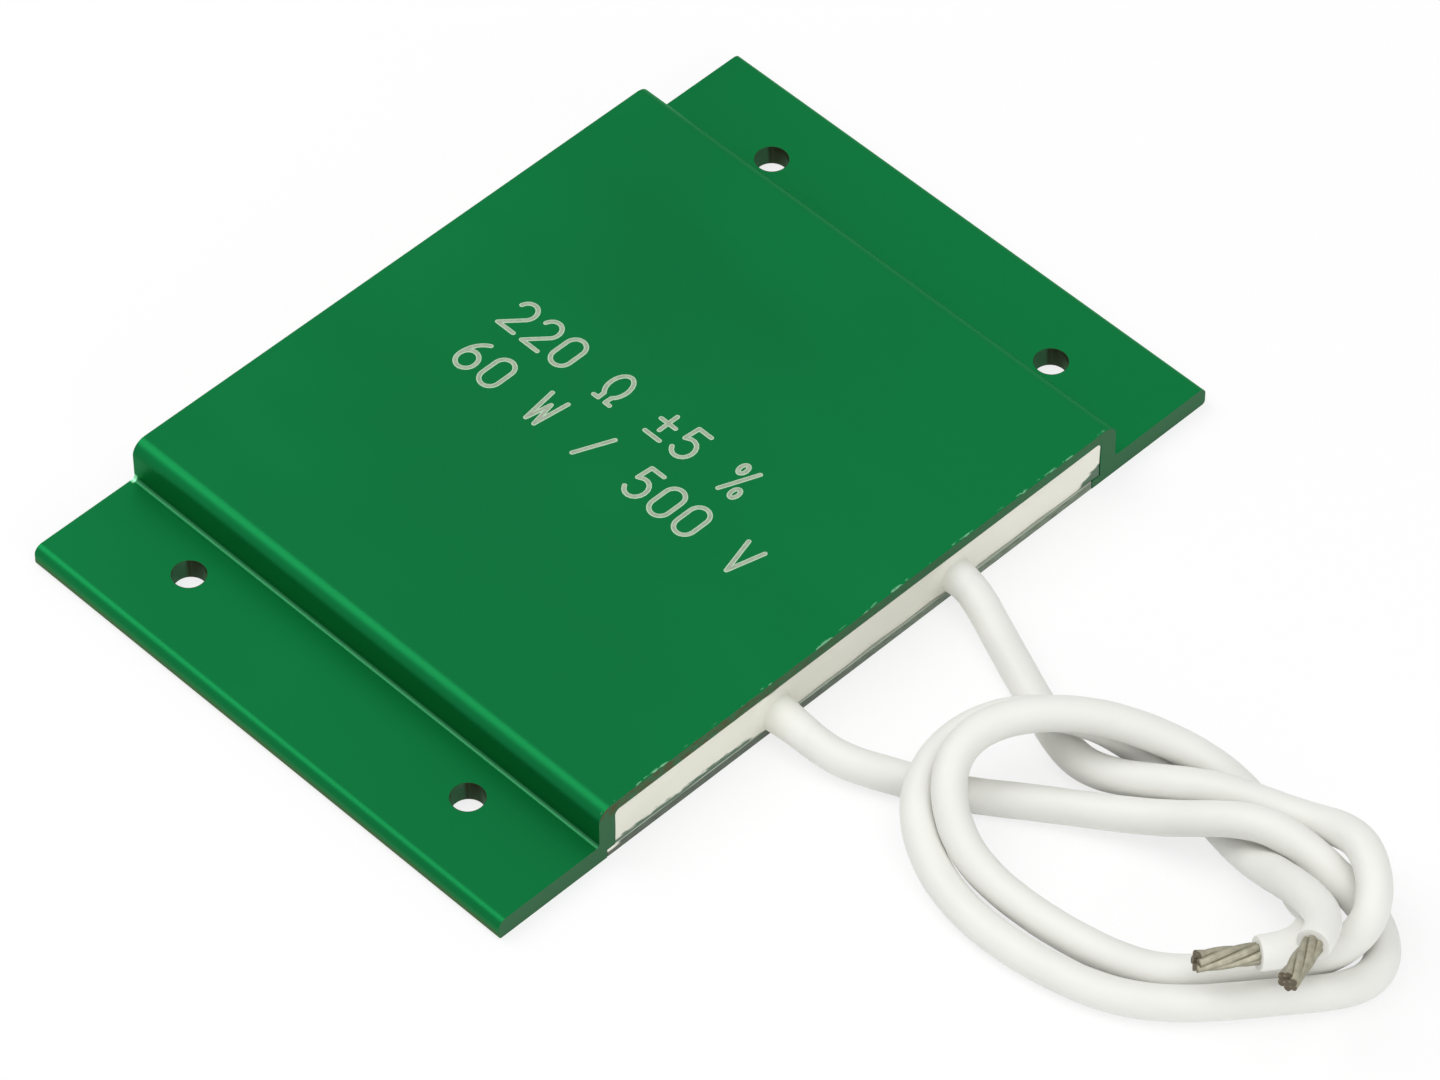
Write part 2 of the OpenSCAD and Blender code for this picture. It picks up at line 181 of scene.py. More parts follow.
class StageSettings(PropertyGroup):
    azimuth: FloatProperty(name="Azimuth", description="Side from which the camera looks",
                           subtype="ANGLE", default=math.radians(-44.637))
    elevation: FloatProperty(name="Elevation", description="Height of the camera's view",
                             subtype="ANGLE", default=math.radians(48.65))
    place: FloatVectorProperty(name="Camera", description="Place of the camera", size=3,
                               subtype="TRANSLATION", unit="LENGTH",
                               default=(-0.32124, -0.33744, 0.52151))
    lens: FloatProperty(name="Lens", description="Focal length in millimetres on a 36 mm frame",
                        default=194.1)
    sky: FloatProperty(name="Sky", description="Strength of the even light all round",
                       min=0, default=0.45)
    key: FloatProperty(name="Rear lamp", description="Power of the lamp that lights the edges",
                       unit="POWER", min=0, default=4.2)
    fill: FloatProperty(name="Overhead lamp", description="Power of the large lamp above",
                        unit="POWER", min=0, default=2.8)
    front: FloatProperty(name="Front lamp", description="Power of the low lamp in front",
                         unit="POWER", min=0, default=3.5)


class ResistorSettings(PropertyGroup):
    housing: PointerProperty(type=HousingSettings)
    plate: PointerProperty(type=PlateSettings)
    compound: PointerProperty(type=CompoundSettings)
    lead: PointerProperty(type=LeadSettings)
    marking: PointerProperty(type=MarkingSettings)
    stage: PointerProperty(type=StageSettings)


class Shader:
    """One material, and short calls that add nodes to it and link them."""

    def __init__(self, name):
        self.material = bpy.data.materials.new(name)
        self.material.use_nodes = True
        self.tree = self.material.node_tree
        self.surface = self.tree.nodes["Principled BSDF"]
        self.place = self.node("ShaderNodeTexCoord").outputs["Object"]
        self.normal = self.place.node.outputs["Normal"]

    def node(self, kind, values=None, **settings):
        """A new node, with its inputs set or linked."""
        made = self.tree.nodes.new(kind)
        for key, value in settings.items():
            setattr(made, key, value)
        for key, value in (values or {}).items():
            if isinstance(value, bpy.types.NodeSocket):
                self.tree.links.new(value, made.inputs[key])
            else:
                made.inputs[key].default_value = value
        return made

    def math(self, operation, *values):
        return self.node("ShaderNodeMath", dict(enumerate(values)),
                         operation=operation).outputs[0]

    def axis(self, vector, name):
        """One coordinate of a vector."""
        return self.node("ShaderNodeSeparateXYZ", {"Vector": vector}).outputs[name]

    def noise(self, cells, detail=2.0, vector=None):
        """Noise from 0 to 1 with so many cells to the millimetre along X, Y and Z."""
        scaled = self.node("ShaderNodeMapping", {"Vector": vector or self.place,
                                                 "Scale": [c / MM for c in cells]})
        return self.node("ShaderNodeTexNoise", {"Vector": scaled.outputs[0], "Scale": 1.0,
                                                "Detail": detail}).outputs["Fac"]

    def step(self, value, low, high, to_low=0.0, to_high=1.0):
        """A smooth change from one value to another between two bounds."""
        return self.node("ShaderNodeMapRange",
                         {"Value": value, "From Min": low, "From Max": high,
                          "To Min": to_low, "To Max": to_high},
                         interpolation_type="SMOOTHSTEP").outputs[0]

    def blend(self, factor, first, second):
        """A colour between two others."""
        made = self.node("ShaderNodeMix", {"Factor": factor}, data_type="RGBA")
        for key, value in (("A", first), ("B", second)):
            socket = [s for s in made.inputs if s.name == key and s.type == "RGBA"][0]
            if isinstance(value, bpy.types.NodeSocket):
                self.tree.links.new(value, socket)
            else:
                socket.default_value = (*value, 1.0)
        return [s for s in made.outputs if s.type == "RGBA"][0]

    def bump(self, height, strength, distance, normal=None):
        """A normal that follows fine relief."""
        inputs = {"Height": height, "Strength": strength, "Distance": distance}
        if normal:
            inputs["Normal"] = normal
        return self.node("ShaderNodeBump", inputs).outputs[0]

    def level_normal(self):
        """The smooth normal, but on faces square to an axis the face's own normal."""
        geometry = self.node("ShaderNodeNewGeometry")
        own = geometry.outputs["True Normal"]
        x, y, z = (self.math("ABSOLUTE", self.axis(own, name)) for name in "XYZ")
        square = self.math("GREATER_THAN", self.math("MAXIMUM", self.math("MAXIMUM", x, y), z),
                           0.9999)
        made = self.node("ShaderNodeMix", data_type="VECTOR")
        factor, first, second = [s for s in made.inputs if s.enabled]
        for value, socket in ((square, factor), (geometry.outputs["Normal"], first),
                              (own, second)):
            self.tree.links.new(value, socket)
        return [s for s in made.outputs if s.enabled][0]

    def within(self, centre, radius, soft):
        """1 inside an upright round column of a radius, in each of the four quarters."""
        x, y = (self.math("ABSOLUTE", self.axis(self.place, name)) for name in "XY")
        off = [self.math("POWER", self.math("SUBTRACT", value, middle), 2.0)
               for value, middle in zip((x, y), centre)]
        distance = self.math("SQRT", self.math("ADD", *off))
        return self.step(distance, radius + soft, radius - soft)

    def finish(self, **inputs):
        """Sets or links the surface's inputs and gives the material."""
        for key, value in inputs.items():
            socket = self.surface.inputs[key.replace("_", " ")]
            if isinstance(value, bpy.types.NodeSocket):
                self.tree.links.new(value, socket)
            elif isinstance(value, tuple):
                socket.default_value = (*value, 1.0)[:len(socket.default_value)]
            else:
                socket.default_value = value
        return self.material


def settings():
    """The scene's settings for the resistor."""
    return bpy.context.scene.resistor


def mesh_piece(name, points, faces, material, smooth_below=40):
    """A mesh from arrays of points and faces, riding on the resistor."""
    mesh = bpy.data.meshes.new(name)
    mesh.from_pydata(points, [], faces)
    mesh.polygons.foreach_set("use_smooth", np.ones(len(mesh.polygons), bool))
    mesh.set_sharp_from_angle(angle=math.radians(smooth_below))
    mesh.materials.append(material)
    piece = bpy.data.objects.new(name, mesh)
    bpy.context.scene.collection.objects.link(piece)
    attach(piece, "root")
    return piece


def keep_values(piece, name, shells):
    """Keeps one value for each point of a piece, for its material."""
    values = piece.data.attributes.new(name, "FLOAT", "POINT")
    values.data.foreach_set("value", np.concatenate(shells).astype(np.float32))


def grid_faces(rows, columns, wrap, first=0):
    """The four-cornered faces of a grid of points, closed round its rows where wrap is true."""
    i, j = np.meshgrid(np.arange(rows - 1), np.arange(columns if wrap else columns - 1),
                       indexing="ij")
    k = (j + 1) % columns
    corners = [i * columns + j, i * columns + k, (i + 1) * columns + k, (i + 1) * columns + j]
    return np.stack(corners, -1).reshape(-1, 4) + first


def join(shells):
    """Several shells of points and faces as one."""
    points, faces, first = [], [], 0
    for shell_points, shell_faces in shells:
        points.append(shell_points)
        faces += [[int(v) + first for v in face] for face in shell_faces]
        first += len(shell_points)
    return np.concatenate(points), faces


def spline(route, count):
    """A uniform cubic B-spline that starts and ends on the outer points of a route: each point
    is the sum of four neighbouring route points times (1 - u)^3, 3u^3 - 6u^2 + 4,
    -3u^3 + 3u^2 + 3u + 1 and u^3, over six."""
    p = np.array(route, float)
    p = np.concatenate([p[:1], p[:1], p, p[-1:], p[-1:]])
    t = np.linspace(0, len(p) - 3, count)
    i = np.minimum(t.astype(int), len(p) - 4)
    u = (t - i)[:, None]
    return ((1 - u) ** 3 * p[i] + (3 * u ** 3 - 6 * u ** 2 + 4) * p[i + 1]
            + (-3 * u ** 3 + 3 * u ** 2 + 3 * u + 1) * p[i + 2] + u ** 3 * p[i + 3]) / 6


def arc_length(path):
    """The distance of each point from the start, along the path."""
    return np.concatenate([[0], np.cumsum(np.linalg.norm(np.diff(path, axis=0), axis=1))])


def evenly(path, count):
    """The same path with its points at equal distances."""
    s = arc_length(path)
    t = np.linspace(0, s[-1], count)
    return np.stack([np.interp(t, s, path[:, k]) for k in range(3)], 1)


def lead_path(route, count=420):
    """A lead's centreline in metres, from its crimped end to its free end."""
    points = np.array(route, float) * MM
    points[:, 1] += FRONT
    return evenly(spline(points, 4000), count)


def cross_axes(path):
    """Unit tangents of a path that never stands upright, and two directions square to each:
    one level, and one that completes the three."""
    tangent = np.gradient(path, axis=0)
    tangent /= np.linalg.norm(tangent, axis=1)[:, None]
    level = np.cross(tangent, [0, 0, 1])
    level /= np.linalg.norm(level, axis=1)[:, None]
    return tangent, level, np.cross(level, tangent)


def tube(path, radius, sides, close=(True, True)):
    """A tube round a path: the point at place s and angle a is the path's point plus radius(s, a)
    times (cos a of the level direction plus sin a of the other). Its ends are closed by
    shrinking the last ring to a point."""
    tangent, level, upper = cross_axes(path)
    angle = np.linspace(0, 2 * math.pi, sides, endpoint=False)
    r = radius(arc_length(path)[:, None], angle[None, :]) * np.ones((len(path), sides))
    ring = (np.cos(angle)[None, :, None] * level[:, None, :]
            + np.sin(angle)[None, :, None] * upper[:, None, :])
    points = (path[:, None, :] + r[:, :, None] * ring).reshape(-1, 3)
    faces = grid_faces(len(path), sides, True).tolist()
    if close[0]:
        faces += [[k, (k + 1) % sides, len(points)] for k in range(sides)]
        points = np.concatenate([points, path[:1]])
    if close[1]:
        base = (len(path) - 1) * sides
        faces += [[base + (k + 1) % sides, base + k, len(points)] for k in range(sides)]
        points = np.concatenate([points, path[-1:]])
    return points, faces


def flipped(faces):
    """The same faces, turned to look the other way."""
    return [face[::-1] for face in faces]


def green_skin(s):
    """Dyed anodised aluminium with drawn lines along Y and sawn ends, browner low on the flange's
    outer sides. Painted light: glints on the burrs along the sawn front edge, a highlight line
    along the foot of the bends and glare at the back left foot; painted shade on the sawn ends and
    the hole walls.
    """
    m = Shader("green anodised aluminium")
    cloud = m.step(m.noise((0.035, 0.02, 0.05), 3.0), 0.35, 0.65)
    skin = m.blend(cloud, s.green_deep, s.green)
    drawn = m.noise((5.0, 0.03, 5.0), 4.0)
    facing = m.math("ABSOLUTE", m.axis(m.normal, "Y"))
    cut = m.step(facing, 0.75, 0.9)
    x, y, z = (m.axis(m.place, name) for name in "XYZ")
    stain = m.step(m.noise((0.9, 0.9, 2.5), 4.0), 0.4, 0.62)
    stain = m.math("MULTIPLY", stain, m.step(z, TOP - 1.6 * MM, TOP - 1.0 * MM))
    stain = m.math("MULTIPLY", stain, m.step(x, 8 * MM, -22 * MM, 0.1, 1.0))
    # The sawn ends: a colour set darker as painted shade, browner in a noisy stain near the top
    sawn = m.blend(stain, s.cut, s.cut_brown)
    # Painted glints along the top of the sawn front edge, where burrs catch the light
    strip = m.step(m.math("SUBTRACT", y, FRONT), 0.3 * MM, 0.12 * MM)
    glint_fleck = m.step(m.noise((0.75, 2.5, 1.0), 5.0), 0.57, 0.61)
    high = m.step(z, TOP - 0.6 * MM, TOP - 0.3 * MM)
    skin = m.blend(m.math("MULTIPLY", m.math("MULTIPLY", strip, glint_fleck), high), skin, s.burr_glint)
    side = m.math("ABSOLUTE", x)
    # Painted highlight along the foot fillet between each wall and its flange
    foot = m.math("MULTIPLY", m.step(side, BODY_SIDE + 0.45 * MM, BODY_SIDE + 0.35 * MM),
                  m.step(z, FLANGE_TOP + 0.3 * MM, FLANGE_TOP + 0.2 * MM))
    foot = m.math("MULTIPLY", foot, m.step(z, FLANGE_TOP, FLANGE_TOP + 0.02 * MM))
    skin = m.blend(foot, skin, s.painted_foot_highlight)
    # Painted glare: a small very bright patch where the wall meets the flange at the back left
    # corner, in the glint colour made 1.8 times brighter
    bare = m.math("MULTIPLY", m.step(y, BACK - 0.5 * MM, BACK - 0.3 * MM),
                  m.step(z, FLANGE_TOP - 0.05 * MM, FLANGE_TOP))
    bare = m.math("MULTIPLY", bare, m.step(z, FLANGE_TOP + 0.6 * MM, FLANGE_TOP + 0.4 * MM))
    bare = m.math("MULTIPLY", bare, m.math("LESS_THAN", x, 0.15 * MM - BODY_SIDE))
    bare = m.math("MULTIPLY", bare,
                  m.step(side, BODY_SIDE + 0.65 * MM, BODY_SIDE + 0.45 * MM))
    skin = m.blend(bare, skin, tuple(min(1, 1.8 * c) for c in s.burr_glint))
    # Browner towards the bottom of the flange's outer sides
    browner_low_side = m.math("MULTIPLY", m.step(side, FLANGE_SIDE - 0.25 * MM, FLANGE_SIDE - 0.1 * MM),
                    m.step(z, 1.2 * MM, 0.4 * MM, 0.0, 0.75))
    skin = m.blend(browner_low_side, skin, s.cut_brown)
    # Painted shade inside the drilled holes, over a brownish tint
    drilled = m.within(HOLE_PLACE, HOLE_R + 0.04 * MM, 0.02 * MM)
    skin = m.blend(drilled, skin, s.shaded_bore)
    marks = m.noise((0.6, 1.0, 7.0), 3.0)
    height = m.node("ShaderNodeMix", {"Factor": cut, "A": drawn, "B": marks}).outputs[0]
    return m.finish(
        Base_Color=m.blend(cut, skin, sawn),
        Metallic=m.step(m.math("MAXIMUM", cut, drilled), 0.0, 1.0, s.metallic, 0.4),
        Roughness=m.math("ADD", m.step(cut, 0.0, 1.0, s.roughness, 0.6),
                         m.math("MULTIPLY", drawn, 0.06)),
        Specular_IOR_Level=0.1,
        Specular_Tint=(0.4, 0.9, 0.55),
        Normal=m.bump(height, 0.12, 0.02 * MM, m.level_normal()))


def plate_metal(s, compound):
    """Rolled aluminium whose sheared edges are streaked and painted in shade, lighter towards the
    right end, with a little compound smeared over its left end."""
    m = Shader("mill finish aluminium")
    facing = m.axis(m.normal, "Z")
    edge = m.step(m.math("ABSOLUTE", facing), 0.6, 0.2)
    streak = m.noise((0.8, 0.8, 6.0), 4.0)
    rolled = m.noise((6.0, 0.05, 6.0), 3.0)
    x, z = (m.axis(m.place, name) for name in "XZ")
    # Painted shade on the edge faces: lighter towards the right end, deeper still in streaks
    sheared = m.blend(m.step(x, -14 * MM, 14 * MM), s.cut, tuple(c * 1.9 for c in s.cut))
    painted_edge_shade = m.blend(m.step(streak, 0.35, 0.7, 0.0, 0.6), sheared, tuple(c * 0.4 for c in s.cut))
    light = m.blend(rolled, s.metal, tuple(c * 0.85 for c in s.metal))
    rim = m.math("ADD", z, m.math("MULTIPLY", streak, 0.5 * MM))
    smear = m.math("MULTIPLY", m.step(x, -29.6 * MM, -30.4 * MM),
                   m.step(rim, 0.8 * MM, 1.0 * MM))
    return m.finish(
        Base_Color=m.blend(smear, m.blend(edge, light, painted_edge_shade), tuple(compound)),
        Metallic=m.step(edge, 0.0, 1.0, 0.9, 0.4),
        Roughness=m.math("ADD", 0.4, m.math("MULTIPLY", streak, 0.2)),
        Normal=m.bump(streak, 0.2, 0.03 * MM))


def compound_rubber(s, lead):
    """Poured white compound: matte, slightly cloudy, with fine grain. Where it climbs a lead
    it takes on the lead's colour."""
    m = Shader("white compound")
    cloud = m.noise((0.09, 0.09, 0.2), 3.0)
    grain = m.noise((3.0, 3.0, 3.0), 4.0)
    climb = m.node("ShaderNodeAttribute", attribute_name="climb").outputs["Fac"]
    x, z = (m.axis(m.place, name) for name in "XZ")
    tone = m.math("ADD", cloud, m.step(x, -26 * MM, 26 * MM, 0.35, -0.35))
    # A grey-green band along the lower edge: painted shade left of the left lead, and a stand-in
    # for the sloping inner wall in the right corner
    ragged = m.math("MULTIPLY", m.math("SUBTRACT", m.noise((0.9, 0.9, 3.0), 5.0), 0.5), 1.2 * MM)
    left = m.step(x, (LEFT_X - 1.6) * MM, (LEFT_X - 3.5) * MM, 0.0, 0.5 * MM)
    right = m.step(x, 27 * MM, 31 * MM, 0.0, 1.7 * MM)
    edge = m.math("ADD", m.math("ADD", left, right), 1.0 * MM)
    above = m.math("SUBTRACT", m.math("SUBTRACT", z, edge), ragged)
    shade_and_wall_band = m.math("MULTIPLY", m.step(above, 0.2 * MM, -0.2 * MM),
                   m.step(m.math("ADD", left, right), 0.1 * MM, 0.4 * MM))
    shade_and_wall_band = m.math("MULTIPLY", shade_and_wall_band, m.math("LESS_THAN", m.axis(m.place, "Y"), 0.0))
    return m.finish(
        Base_Color=m.blend(climb, m.blend(shade_and_wall_band, m.blend(tone, s.white, s.warm), s.smear),
                           tuple(lead.silicone)),
        Roughness=m.math("ADD", 0.5, m.math("MULTIPLY", grain, 0.2)),
        Normal=m.bump(grain, 0.15, 0.05 * MM))


def lead_silicone(s):
    """Soft white silicone with a dull skin and a faint powdery grain."""
    m = Shader("white silicone")
    cloud = m.step(m.noise((0.12, 0.12, 0.12), 3.0), 0.3, 0.7)
    grain = m.noise((4.0, 4.0, 4.0), 5.0)
    return m.finish(
        Base_Color=m.blend(cloud, s.silicone, tuple(c * 0.965 for c in s.silicone)),
        Roughness=m.math("ADD", 0.42, m.math("MULTIPLY", grain, 0.2)),
        Subsurface_Weight=0.25,
        Subsurface_Radius=(1.0, 1.0, 1.0),
        Subsurface_Scale=0.5 * MM,
        Normal=m.bump(grain, 0.1, 0.03 * MM))


def tinned_wire(s):
    """Tinned wires, dull and a little yellow, darker where they were cut."""
    m = Shader("tinned strand")
    cut = m.node("ShaderNodeAttribute", attribute_name="cut").outputs["Fac"]
    spots = m.noise((1.5, 1.5, 1.5), 4.0)
    tin = m.blend(m.step(spots, 0.35, 0.65), s.tin, tuple(c * 0.8 for c in s.tin))
    return m.finish(
        Base_Color=m.blend(cut, tin, s.tin_cut),
        Metallic=m.step(cut, 0.0, 1.0, 0.75, 0.3),
        Roughness=m.math("ADD", 0.38, m.math("MULTIPLY", spots, 0.2)),
        Normal=m.bump(spots, 0.2, 0.05 * MM))


def engraved_metal(s):
    """Bare metal in an engraved line: dull silver, greener and lighter towards the line's edges as
    a painted highlight.
    """
    m = Shader("engraved metal")
    across = m.node("ShaderNodeAttribute", attribute_name="across").outputs["Fac"]
    grain = m.noise((2.5, 2.5, 2.5), 4.0)
    # Painted highlight towards the edges of each line
    rim = m.math("MULTIPLY", m.step(across, 0.4, 0.75), m.step(grain, 0.3, 0.6, 0.5, 1.0))
    middle = m.blend(m.step(grain, 0.35, 0.65), s.silver, tuple(c * 0.8 for c in s.silver))
    return m.finish(
        Base_Color=m.blend(rim, middle, s.rim),
        Metallic=0.2,
        Roughness=m.math("ADD", 0.5, m.math("MULTIPLY", grain, 0.2)),
        Normal=m.bump(grain, 0.3, 0.04 * MM))


def plain_metal(name, shade, metallic, roughness):
    """A hidden metal piece: an even metal with fine drawn lines."""
    m = Shader(name)
    lines = m.noise((4.0, 0.3, 4.0), 3.0)
    return m.finish(
        Base_Color=m.blend(lines, shade, tuple(c * 0.8 for c in shade)),
        Metallic=metallic,
        Roughness=m.math("ADD", roughness, m.math("MULTIPLY", lines, 0.15)),
        Normal=m.bump(lines, 0.15, 0.02 * MM))


def plain_mineral(name, shade, grain_cells):
    """Cement or mica: a matte body with specks."""
    m = Shader(name)
    specks = m.noise(grain_cells, 5.0)
    return m.finish(
        Base_Color=m.blend(m.step(specks, 0.4, 0.65), shade, tuple(c * 0.75 for c in shade)),
        Roughness=m.math("ADD", 0.6, m.math("MULTIPLY", specks, 0.3)),
        Normal=m.bump(specks, 0.3, 0.08 * MM))


def dress(node, material, edge_round=0.0):
    """Gives a solid its material, and rounds its sharp edges where edge_round is above zero."""
    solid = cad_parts[node]
    solid.data.materials.clear()
    solid.data.materials.append(material)
    if edge_round:
        weld = solid.modifiers.new("Weld", "WELD")
        weld.merge_threshold = 0.001 * MM
        bevel = solid.modifiers.new("Edges", "BEVEL")
        bevel.width = edge_round
        bevel.segments = 2
        bevel.limit_method = "ANGLE"
        bevel.angle_limit = math.radians(35)
        bevel.use_clamp_overlap = True
        solid.data.polygons.foreach_set("use_smooth", np.ones(len(solid.data.polygons), bool))
        normals = solid.modifiers.new("Normals", "WEIGHTED_NORMAL")
        normals.weight = 100


class RESISTOR_OT_stage(Operator):
    """Make the camera, the pale floor and the soft light"""
    bl_idname = "resistor.stage"
    bl_label = "Stage"

    def execute(self, context):
        s = settings().stage
        scene = context.scene
        scene.view_settings.view_transform = "Standard"
        camera = bpy.data.objects.new("camera", bpy.data.cameras.new("camera"))
        camera.data.sensor_width = 36
        camera.data.lens = s.lens
        camera.location = s.place
        away = Vector((math.sin(s.azimuth) * math.cos(s.elevation),
                       -math.cos(s.azimuth) * math.cos(s.elevation), math.sin(s.elevation)))
        camera.rotation_mode = "QUATERNION"
        camera.rotation_quaternion = away.to_track_quat("Z", "Y")
        camera.data.clip_start = 0.05
        camera.data.clip_end = 20
        scene.collection.objects.link(camera)
        scene.camera = camera
        self.light_sky(scene, s)
        self.lay_floor(scene)
        self.hang_lamp(scene, "rear_lamp", s.key, 0.7, (-0.22, 0.45, 0.812))
        self.hang_lamp(scene, "overhead_lamp", s.fill, 0.7, (-0.1, -0.35, 0.93))
        self.hang_lamp(scene, "front_lamp", s.front, 0.8, (-0.25, -1.0, 0.22))
        return {"FINISHED"}

    def hang_lamp(self, scene, name, power, size, place):
        """A square lamp that looks at the resistor."""
        lamp = bpy.data.lights.new(name, "AREA")
        lamp.energy = power
        lamp.size = size
        hung = bpy.data.objects.new(name, lamp)
        hung.location = place
        hung.rotation_mode = "QUATERNION"
        hung.rotation_quaternion = Vector(place).to_track_quat("Z", "Y")
        scene.collection.objects.link(hung)

    def light_sky(self, scene, s):
        """Even light all round, which the camera and reflections see as white."""
        world = bpy.data.worlds.new("pale sky")
        scene.world = world
        world.use_nodes = True
        nodes, links = world.node_tree.nodes, world.node_tree.links
        light = nodes["Background"]
        light.inputs["Color"].default_value = (1, 1, 1, 1)
        light.inputs["Strength"].default_value = s.sky
        white = nodes.new("ShaderNodeBackground")
        white.inputs["Color"].default_value = (1, 1, 1, 1)
        mixed = nodes.new("ShaderNodeMixShader")
        links.new(seen_directly(nodes, links), mixed.inputs[0])
        links.new(light.outputs[0], mixed.inputs[1])
        links.new(white.outputs[0], mixed.inputs[2])
        links.new(mixed.outputs[0], nodes["World Output"].inputs["Surface"])

    def lay_floor(self, scene):
        """A pale floor that lies a hair below the resistor, so that their faces don't fight."""
        half, low = 3.0, -0.02 * MM
        mesh = bpy.data.meshes.new("floor")
        mesh.from_pydata([(x * half, y * half, low) for x, y in
                          ((-1, -1), (1, -1), (1, 1), (-1, 1))], [], [(0, 1, 2, 3)])
        floor = bpy.data.objects.new("floor", mesh)
        scene.collection.objects.link(floor)
        material = bpy.data.materials.new("pale floor")
        material.use_nodes = True
        nodes, links = material.node_tree.nodes, material.node_tree.links
        matte = nodes["Principled BSDF"]
        matte.inputs["Base Color"].default_value = (0.93, 0.93, 0.93, 1)
        matte.inputs["Roughness"].default_value = 1
        matte.inputs["Specular IOR Level"].default_value = 0
        glow = nodes.new("ShaderNodeEmission")
        glow.inputs["Color"].default_value = (1, 1, 1, 1)
        share = nodes.new("ShaderNodeMath")
        share.operation = "MULTIPLY"
        share.inputs[1].default_value = 0.75
        links.new(seen_directly(nodes, links), share.inputs[0])
        mixed = nodes.new("ShaderNodeMixShader")
        links.new(share.outputs[0], mixed.inputs[0])
        links.new(matte.outputs[0], mixed.inputs[1])
        links.new(glow.outputs[0], mixed.inputs[2])
        links.new(mixed.outputs[0], nodes["Material Output"].inputs["Surface"])
        floor.data.materials.append(material)


def seen_directly(nodes, links):
    """1 for what the camera sees directly, in a reflection or through glass."""
    path = nodes.new("ShaderNodeLightPath")
    total = path.outputs["Is Camera Ray"]
    for name in ("Is Glossy Ray", "Is Transmission Ray"):
        most = nodes.new("ShaderNodeMath")
        most.operation = "MAXIMUM"
        links.new(total, most.inputs[0])
        links.new(path.outputs[name], most.inputs[1])
        total = most.outputs[0]
    return total


class RESISTOR_OT_housing(Operator):
    """Dress the extruded housing and the base plate"""
    bl_idname = "resistor.housing"
    bl_label = "Housing and base plate"

    def execute(self, context):
        s = settings()
        dress("housing", green_skin(s.housing), s.housing.edge_round)
        dress("base_plate", plate_metal(s.plate, s.compound.white), s.plate.edge_round)
        return {"FINISHED"}


